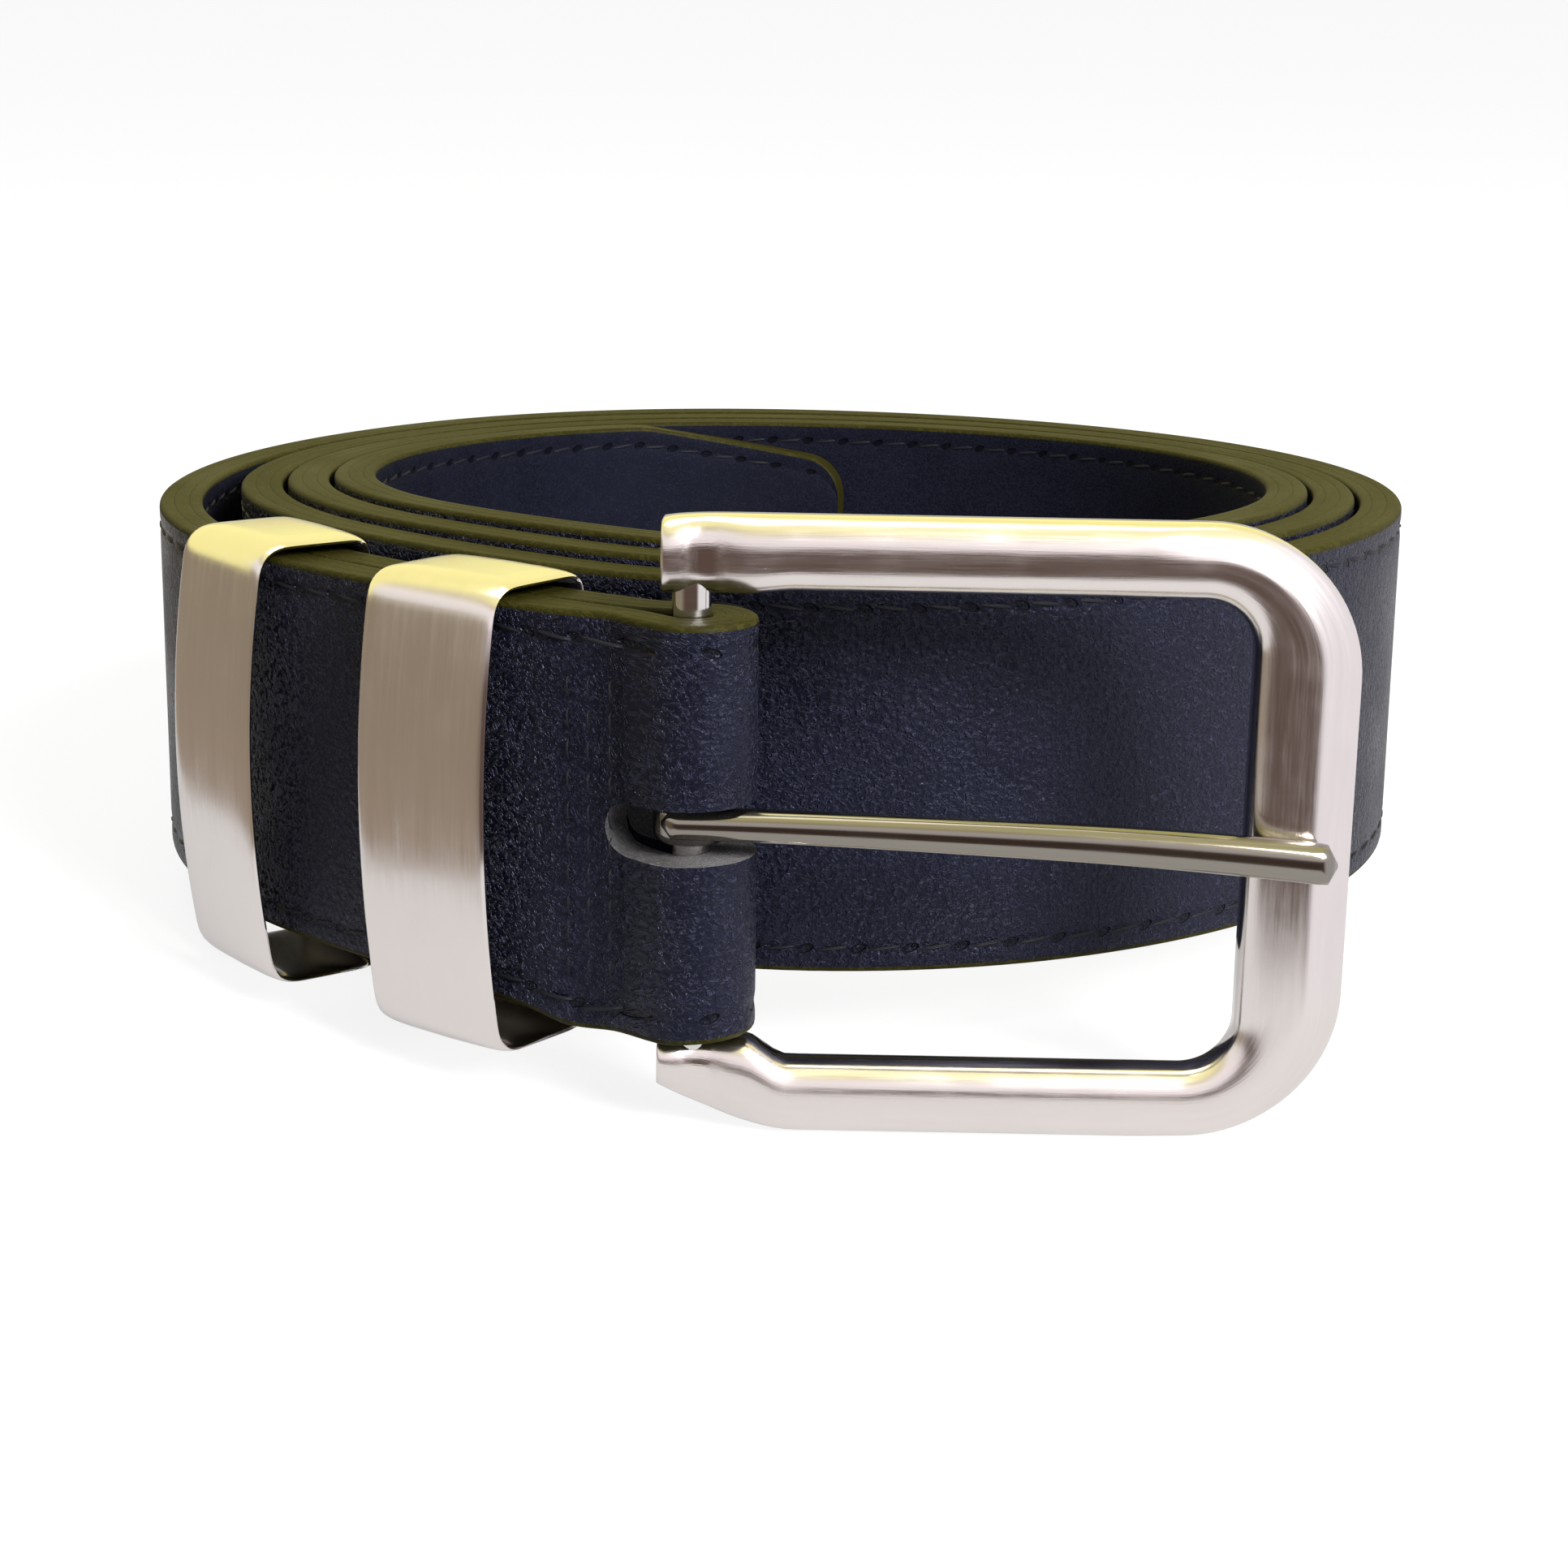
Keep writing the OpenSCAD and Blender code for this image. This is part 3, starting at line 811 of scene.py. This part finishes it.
# %% [markdown]
# ## The buckle frame
# The frame is cast: a domed bar that follows three sides of a rounded rectangle and
# ends in two lugs. The inner and outer outlines are worked out with the same
# parameter, and the section between them is a flattened dome. Near the lugs the
# front is scooped, and the lower lug is swept up towards the pin. The outer part of
# the far bar slopes back.

# %% Outlines of the frame
# From the pin to the far end, height of a rail, width of the far bar, and the lugs' end.
REACH, RAIL, BAR, LUG = 55.4, 6.2, 9.0, -2.4
OUTER_R, INNER_R = 13.0, 4.5
# Where the lugs' shape starts on either outline, and how far the lower one is swept up.
LUG_FROM, LUG_IN_FROM, SWEEP_UP = 9, 8.5, 3.9


def outline(x_bar, half_h, radius, count=(46, 22, 30)):
    """Upper rail, quarter circle and half of the bar, then the same mirrored below."""
    x0 = x_bar - radius
    rail = LUG + (x0 - LUG) * np.linspace(0, 1, count[0]) ** 1.15
    top = np.stack([rail, np.full(count[0], half_h)], -1)
    turn = np.linspace(90, 0, count[1] + 1)[1:]
    corner = np.array([x0, half_h - radius]) + radius * unit(turn)
    z = np.linspace(half_h - radius, 0, count[2])[1:]
    bar = np.stack([np.full(len(z), x_bar), z], -1)
    half = np.concatenate([top, corner, bar])
    return np.concatenate([half, half[-2::-1] * [1, -1]])


def frame_lines():
    """Outer and inner outline with the lugs' own shape worked in."""
    outer = outline(REACH, FRAME_H / 2, OUTER_R)
    inner = outline(REACH - BAR, FRAME_H / 2 - RAIL, INNER_R)
    near = np.clip((LUG_FROM - outer[:, 0]) / (LUG_FROM - LUG), 0, 1)
    lower = outer[:, 1] < 0
    outer[:, 1] += np.where(lower, SWEEP_UP * near ** 1.6, -0.35 * near ** 6)
    near_in = np.clip((LUG_IN_FROM - inner[:, 0]) / 4, 0, 1)
    step = near_in ** 2 * (3 - 2 * near_in)
    inner[:, 1] += np.where(inner[:, 1] < 0, 2.0, 0.3) * step * np.sign(-inner[:, 1])
    return outer, inner


# %% The frame's surface
# Height of the dome in front and of the flatter back, depth of the scoop at the lugs,
# height of the bead beside it, and slope of the far bar.
FRONT, BACK, SCOOP, BEAD, SLOPE = 2.5, 1.95, 0.75, 0.12, 1.5


def frame_points(around=40):
    """u = +-|cos a|^k from the inner to the outer outline; depth = height * |sin a|^k in
    front and behind. Bell curves along the rails make the scoop and the bead."""
    outer, inner = frame_lines()
    middle, half = (outer + inner) / 2, (outer - inner) / 2
    n = len(outer)
    a = np.linspace(0, 2 * math.pi, around, endpoint=False)[None]
    cos, sin = np.cos(a), np.sin(a)
    flat = np.where(sin < 0, 0.9, 0.35)
    u = np.sign(cos) * np.abs(cos) ** flat
    x_mid = middle[:, 0][:, None]
    on_bar = np.clip((x_mid - 38) / 9, 0, 1)
    front = FRONT - SCOOP * np.exp(-((x_mid - 1.4) / 1.9) ** 2)
    front = front + BEAD * np.exp(-((x_mid - 7.2) / 1.6) ** 2)
    dome = np.abs(sin) ** np.where(sin < 0, 0.66, 0.3)
    facet = SLOPE * on_bar * np.clip((u - 0.22) / 0.78, 0, 1)
    y = np.where(sin < 0, (facet - front) * dome, BACK * dome)
    plane = middle[:, None] + half[:, None] * u[..., None]
    length = np.concatenate([[0], np.cumsum(np.linalg.norm(np.diff(middle, axis=0),
                                                           axis=1))])
    rim = np.clip((np.abs(u) - 0.9) / 0.08, 0, 1) * (sin < 0.3)
    scoop = np.exp(-((x_mid - 0.8) / 1.5) ** 4) * (sin < 0)
    place = np.stack([length[:, None] + 0 * u, u * 4 + 0 * length[:, None],
                      np.maximum(rim, scoop)], -1)
    points = np.stack([plane[..., 0], y, plane[..., 1]], -1)
    return points, place


def at_pin(p, droop=0.0):
    """From the pin's own axes to the plan; droop turns a piece in its own plane."""
    c, s = math.cos(droop), math.sin(droop)
    x, z = p[..., 0] * c + p[..., 2] * s, -p[..., 0] * s + p[..., 2] * c
    return np.stack([x + PIN[0], p[..., 1] + PIN[1], z + MID], -1)


# %% The finished frame
FRAME_DROOP = math.radians(0.35)


def softened_end(ring, share=0.93, out=0.22):
    """The end ring drawn in towards its centre and moved out a little along the rail."""
    centre = ring.mean(0)
    return (centre + (ring - centre) * share - [out, 0, 0])[None]


points, place = frame_points()
points = np.concatenate([softened_end(points[0]), points, softened_end(points[-1])])
place = np.concatenate([place[:1], place, place[-1:]])
points[..., 2] -= SAG
buckle = new_piece("cast_frame", at_pin(points, FRAME_DROOP),
                   tube_faces(*points.shape[:2]), place.reshape(-1, 3), 55)
finish_piece(buckle, "buckle", "buckle_frame", "satin_nickel", SATIN)

# %% [markdown]
# ## Pin and prong
# The pin is turned: a plain rod with softened ends. The prong is a bent rod, an eye
# round the pin and a bar that comes forward and comes to rest on the far bar of the
# frame, with a rounded tip.

# %% A turned pin


def turned(name, profile, around=48):
    """Rings of (radius, height) about the pin's axis."""
    profile = np.asarray(profile, float)
    a = np.linspace(0, 2 * math.pi, around, endpoint=False)
    x = profile[:, :1] * np.cos(a)
    y = profile[:, :1] * np.sin(a)
    z = profile[:, 1:] + 0 * a
    place = np.stack([x * 0 + a * 2, z, 0 * z], -1)
    return new_piece(name, at_pin(np.stack([x, y, z], -1)),
                     tube_faces(len(profile), around), place.reshape(-1, 3), 35)


# Radius, half length, rounding of the ends, and how much higher the lower end is.
PIN_R, PIN_HALF, PIN_SOFT, PIN_UP = 1.65, FRAME_H / 2 - 2, 0.3, 3
soft = np.linspace(0, math.pi / 2, 5)
end_r = PIN_R - PIN_SOFT + PIN_SOFT * np.sin(soft)
end_z = PIN_HALF - PIN_SOFT + PIN_SOFT * np.cos(soft)
profile = np.concatenate([np.stack([end_r, PIN_UP - end_z], -1),
                          [[PIN_R, z] for z in (-18.2, -17.9, 17.9, 18.2)],
                          np.stack([end_r, end_z], -1)[::-1]])
profile[:, 1] -= SAG
pin = turned("turned_pin", profile)
finish_piece(pin, "buckle", "hinge_pin", "polished_nickel", POLISHED)

# %% The prong
# Where the bar starts, its length, and over how much of each end it is rounded.
PRONG_FROM, PRONG_LEN, TIP_LEN, START_LEN = -2.4, 56.0, 1.3, 1.2


def prong_bar(around=24):
    """y eases from beside the eye to the front of the far bar, z sags by 2.45 t^2.4.
    The section is a rounded rectangle that grows with t and closes at both ends."""
    t = np.linspace(0, 1, 70)
    x = PRONG_FROM + t * PRONG_LEN
    past = x - (PRONG_FROM + PRONG_LEN - TIP_LEN)
    before = PRONG_FROM + START_LEN - x
    tip = np.clip(past / TIP_LEN, 0, 1) + np.clip(before / START_LEN, 0, 1)
    y = -2.2 - 1.75 * np.sin(np.clip(t / 0.55, 0, 1) * math.pi / 2) ** 1.4
    z = 0.25 - 2.45 * t ** 2.4
    size = np.sqrt(np.maximum(1 - tip ** 2.4, 0.02))
    tall, deep = (1.32 + 0.42 * t) * size, 1.5 * size
    a = np.linspace(0, 2 * math.pi, around, endpoint=False)
    square = lambda q: np.sign(q) * np.abs(q) ** 0.8
    ring_y = deep[:, None] * square(np.sin(a))
    ring_z = tall[:, None] * square(np.cos(a))
    bar = np.stack([x[:, None] + 0 * a, y[:, None] + ring_y, z[:, None] + ring_z], -1)
    place = np.stack([x[:, None] + 0 * a, ring_z * 2, 0 * ring_z], -1)
    return bar, place


def prong_eye(around=14, steps=44):
    """A closed ring about the pin: radius 2.5 + 0.72 sin a, height +-1.68 |cos a|^0.6."""
    a = np.linspace(0, 2 * math.pi, around, endpoint=False)
    turn = np.linspace(0, 360, steps, endpoint=False)
    radius = 2.5 + 0.72 * np.sin(a)
    ring = unit(turn)[:, None] * radius[None, :, None]
    z = np.broadcast_to(1.68 * np.sign(np.cos(a)) * np.abs(np.cos(a)) ** 0.6, ring.shape[:2])
    points = np.concatenate([ring, z[..., None]], -1)
    i, j = np.meshgrid(np.arange(steps), np.arange(around), indexing="ij")
    k, m = (j + 1) % around, (i + 1) % steps
    faces = np.stack([i * around + j, i * around + k, m * around + k, m * around + j], -1)
    place = np.stack([np.radians(turn)[:, None] * 2.5 + 0 * z, z, 0 * z], -1)
    return points, faces.reshape(-1, 4), place


bar, bar_place = prong_bar()
eye, eye_faces, eye_place = prong_eye()
all_points = np.concatenate([bar.reshape(-1, 3), eye.reshape(-1, 3)])
all_faces = tube_faces(*bar.shape[:2]) + (eye_faces + bar.shape[0] * bar.shape[1]).tolist()
all_place = np.concatenate([bar_place.reshape(-1, 3), eye_place.reshape(-1, 3)])
prong = new_piece("bent_prong", at_pin(all_points), all_faces, all_place, 60)
finish_piece(prong, "prong", "prong", "polished_nickel", SHADED_NICKEL)

# %% [markdown]
# ## The keepers
# A keeper is a strip of plate bent into a closed loop. Its front is bowed and its
# corners are soft. The strip's section, a thin rectangle with rounded rims, is
# carried round the loop. The rims are marked in the place values, so that the
# material can polish them.

# %% Loop of a keeper
# Width, height and thickness of the plate's loop, bow of its front, its room over the
# doubled strap in depth and in height, and the radii of its front and back corners.
KEEPER_W, KEEPER_H, KEEPER_T, BOW = 15.0, 42.0, 1.0, 1.5
ROOM_DEEP, ROOM_HIGH = 1.75, 0.6
FRONT_R, BACK_R = 3.1, 1.7
KEEPER_DEPTH = STACK_T + 2 * KEEPER_T + ROOM_DEEP
KEEPER_Z = STRAP_W + KEEPER_T + ROOM_HIGH - KEEPER_H / 2


def loop_line(per_mm=1.6):
    """Rounded rectangle with front = -d - bow * (1 - z^2), spaced evenly and smoothed.
    Returns points, outward normals and the length along the loop."""
    h, d, r, rb = KEEPER_H / 2, KEEPER_DEPTH / 2, FRONT_R, BACK_R
    z = np.linspace(-1, 1, 60)
    front = np.stack([-d - BOW * (1 - z ** 2), z * (h - r)], -1)
    arc = lambda y, z, r, a0, a1: np.array([y, z]) + r * unit(np.linspace(a0, a1, 14))
    raw = np.concatenate([front,
                          arc(-d + r, h - r, r, 168, 90), arc(d - rb, h - rb, rb, 90, 0),
                          arc(d - rb, -h + rb, rb, 0, -90), arc(-d + r, -h + r, r, -90, -168)])
    raw = np.concatenate([raw, raw[:1]])
    s = np.concatenate([[0], np.cumsum(np.linalg.norm(np.diff(raw, axis=0), axis=1))])
    n = int(s[-1] * per_mm)
    at = np.linspace(0, s[-1], n, endpoint=False)
    line = np.stack([np.interp(at, s, raw[:, i]) for i in (0, 1)], -1)
    for _ in range(3):
        line = (np.roll(line, 1, 0) + 2 * line + np.roll(line, -1, 0)) / 4
    along = np.roll(line, -1, 0) - np.roll(line, 1, 0)
    along /= np.linalg.norm(along, axis=1, keepdims=True)
    return line, np.stack([-along[:, 1], along[:, 0]], -1), at


CROWN = 0.14


def keeper(name, s_middle):
    """Section (w, t) carried round the loop, then set across the strap at s_middle. The
    outer face is crowned by crown * (1 - (2 w / width)^2)."""
    line, out, at = loop_line()
    a = np.linspace(0, 2 * math.pi, 36, endpoint=False)
    w = np.sign(np.cos(a)) * np.abs(np.cos(a)) ** 0.35 * KEEPER_W / 2
    t = np.sign(np.sin(a)) * np.abs(np.sin(a)) ** 0.7 * KEEPER_T / 2
    crown = CROWN * (1 - (w / (KEEPER_W / 2)) ** 2)
    shift = (t - KEEPER_T / 2 + np.where(t > 0, crown - CROWN, 0))[None, :, None]
    yz = line[:, None] + out[:, None] * shift
    x = np.broadcast_to(w, yz.shape[:2])
    middle = on_route(np.array([s_middle]), STACK_T / 2)[0]
    turn = heading_at(np.array([s_middle]))[0] + 180
    ex, ey = unit(turn), unit(turn + 90)
    xy = middle + x[..., None] * ex + yz[..., :1] * ey
    points = np.concatenate([xy, yz[..., 1:] + KEEPER_Z], -1)
    rim = np.clip((np.abs(w) / (KEEPER_W / 2) - 0.93) / 0.04, 0, 1)
    place = np.stack(np.broadcast_arrays(at[:, None] * 1.0, w[None] * 1.0, rim[None]), -1)
    n, m = xy.shape[:2]
    i, j = np.meshgrid(np.arange(n), np.arange(m), indexing="ij")
    k, q = (j + 1) % m, (i + 1) % n
    faces = np.stack([i * m + j, i * m + k, q * m + k, q * m + j], -1).reshape(-1, 4)
    return new_piece(name, points, faces.tolist(), place.reshape(-1, 3), 60)


# %% Near and far keeper
# How far along its own arc of the strap each keeper sits.
NEAR_SHARE, FAR_SHARE = 0.41, 0.185
near_at = ENDS[1] + NEAR_SHARE * (ENDS[2] - ENDS[1])
far_at = ENDS[2] + FAR_SHARE * (ENDS[3] - ENDS[2])
near = keeper("near_keeper", near_at)
finish_piece(near, "keeper_near", "keeper_near", "satin_nickel", SATIN)
far = keeper("far_keeper", far_at)
finish_piece(far, "keeper_far", "keeper_far", "satin_nickel", SATIN)

# %% [markdown]
# ## Floor and light
# The belt stands on a plain white table, narrow in front of it and wider behind. What
# polished metal shows is mostly its surroundings: the table below, a warm brown room
# in front that is white higher up, a yellow light behind, and a white wall on the
# right. That room is seen in reflections only. The backdrop is plain white, and the
# light that it gives to matt surfaces is a soft grey.

# %% Table
TABLE = [(-0.07, -0.143, 0), (0.07, -0.143, 0), (0.96, 3, 0), (-0.96, 3, 0)]
GLOW, SEEN_GLOW = 0.56, 0.3


def make_floor():
    """A flat sheet, narrow in front; it glows a little, and more where it is seen."""
    mesh = bpy.data.meshes.new("table")
    mesh.from_pydata(TABLE, [], [(0, 1, 2, 3)])
    table = bpy.data.objects.new("table", mesh)
    bpy.context.scene.collection.objects.link(table)
    made, tree, shader = new_material("white table")
    shader.inputs["Base Color"].default_value = (0.16, 0.16, 0.16, 1)
    shader.inputs["Roughness"].default_value = 0.9
    shader.inputs["Specular IOR Level"].default_value = 0.0
    shader.inputs["Emission Color"].default_value = (1, 1, 1, 1)
    seen = node(tree, "ShaderNodeLightPath").outputs["Is Camera Ray"]
    glow = math_node(tree, "ADD", math_node(tree, "MULTIPLY", seen, SEEN_GLOW), GLOW)
    tree.links.new(glow, shader.inputs["Emission Strength"])
    table.data.materials.append(made)


# %% World
# Colours of the reflected room from straight down (0) over level (0.5) to straight up.
BANDS = [(0.0, (0.5, 0.45, 0.4)), (0.36, (0.36, 0.29, 0.22)),
         (0.5, (0.31, 0.255, 0.185)), (0.55, (0.36, 0.3, 0.215)),
         (0.59, (0.62, 0.56, 0.45)), (0.625, (1.0, 0.96, 0.92)),
         (0.72, (1.15, 1.1, 1.08)), (0.81, (0.85, 0.78, 0.55)),
         (0.9, (1.2, 1.12, 0.55)), (1.0, (1.3, 1.25, 0.8))]
BROWN, PALE = (0.12, 0.08, 0.065, 1), (1.1, 1.03, 1.06, 1)
YELLOW, WALL = (1.25, 1.17, 0.48, 1), (1.0, 0.97, 1.02, 1)
GREY, WHITE = (0.5, 0.5, 0.5, 1), (1, 1, 1, 1)


def make_world():
    """White when seen, grey as light; in reflections the bands over the height of the
    direction, changed in front, behind and on the right."""
    world = bpy.data.worlds.new("studio")
    world.use_nodes = True
    bpy.context.scene.world = world
    tree = world.node_tree
    shade = tree.nodes["Background"]
    way = node(tree, "ShaderNodeTexCoord").outputs["Generated"]
    right, back, up = node(tree, "ShaderNodeSeparateXYZ", None, Vector=way).outputs
    height = math_node(tree, "ADD", math_node(tree, "MULTIPLY", up, 0.5), 0.5)
    bands = node(tree, "ShaderNodeValToRGB", None, Fac=height)
    elements = bands.color_ramp.elements
    while len(elements) < len(BANDS):
        elements.new(0.5)
    for element, (at, colour) in zip(elements, BANDS):
        element.position = at
        element.color = colour + (1,)
    behind = math_node(tree, "MULTIPLY", ramp(tree, back, 0.1, 0.4),
                       ramp(tree, up, 0.0, 0.12))
    ahead = math_node(tree, "MULTIPLY", ramp(tree, back, -0.45, -0.85),
                      ramp(tree, up, 0.45, 0.3))
    front = mix_colour(tree, ramp(tree, up, 0.06, 0.18), BROWN, PALE)
    room = mix_colour(tree, ahead, bands.outputs[0], front)
    room = mix_colour(tree, behind, room, YELLOW)
    room = mix_colour(tree, ramp(tree, right, 0.45, 0.75), room, WALL)
    rays = node(tree, "ShaderNodeLightPath").outputs
    plain = mix_colour(tree, rays["Is Camera Ray"], GREY, WHITE)
    tree.links.new(mix_colour(tree, rays["Is Glossy Ray"], plain, room),
                   shade.inputs["Color"])
    shade.inputs["Strength"].default_value = 1.0


# %% Lights


def area_light(name, place, target, size, power, colour):
    """A square soft light at place, facing target."""
    data = bpy.data.lights.new(name, "AREA")
    data.size, data.energy, data.color = size, power, colour
    lamp = bpy.data.objects.new(name, data)
    lamp.location = place
    aim = Vector(target) - Vector(place)
    lamp.rotation_euler = aim.to_track_quat("-Z", "Y").to_euler()
    bpy.context.scene.collection.objects.link(lamp)


make_floor()
make_world()
area_light("key", (0.35, -0.45, 0.4), (0, -0.05, 0.02), 0.26, 12.0, (1.0, 0.98, 0.98))
area_light("top", (-0.1, 0.1, 0.7), (0, 0, 0), 0.5, 1.5, (1.0, 0.97, 0.85))

# %% [markdown]
# ## Camera
# The camera stands close in front of the belt, a little above it, and looks down.
# Its place and tilt are given on the straight plan and turned with the same lean as
# the belt.

# %% Camera on the plan
CAMERA_AT, PITCH_DOWN, ROLL = (0.286, -313.66, 81.27), math.radians(14.16), 0.013
SENSOR, LENS = 36.0, 68.1


def make_camera():
    """Columns of the rotation: right, up and backwards, turned by the roll and lean."""
    c, s = math.cos(LEAN), math.sin(LEAN)
    tilt = np.array([[1, 0, 0], [0, c, s], [0, -s, c]])
    ahead = np.array([0, math.cos(PITCH_DOWN), -math.sin(PITCH_DOWN)])
    right = np.array([1.0, 0, 0])
    up = np.cross(right, ahead)
    cr, sr = math.cos(ROLL), math.sin(ROLL)
    columns = [tilt @ (cr * right + sr * up), tilt @ (cr * up - sr * right),
               tilt @ -ahead]
    matrix = Matrix(np.array(columns).T.tolist()).to_4x4()
    matrix.translation = Vector(standing(np.array(CAMERA_AT)))
    data = bpy.data.cameras.new("camera")
    data.sensor_width, data.lens = SENSOR, LENS
    data.clip_start = 0.01
    eye = bpy.data.objects.new("camera", data)
    eye.matrix_world = matrix
    bpy.context.scene.collection.objects.link(eye)
    bpy.context.scene.camera = eye
    print("camera at", [round(v, 3) for v in matrix.translation])


make_camera()
bpy.context.scene.view_settings.view_transform = "Standard"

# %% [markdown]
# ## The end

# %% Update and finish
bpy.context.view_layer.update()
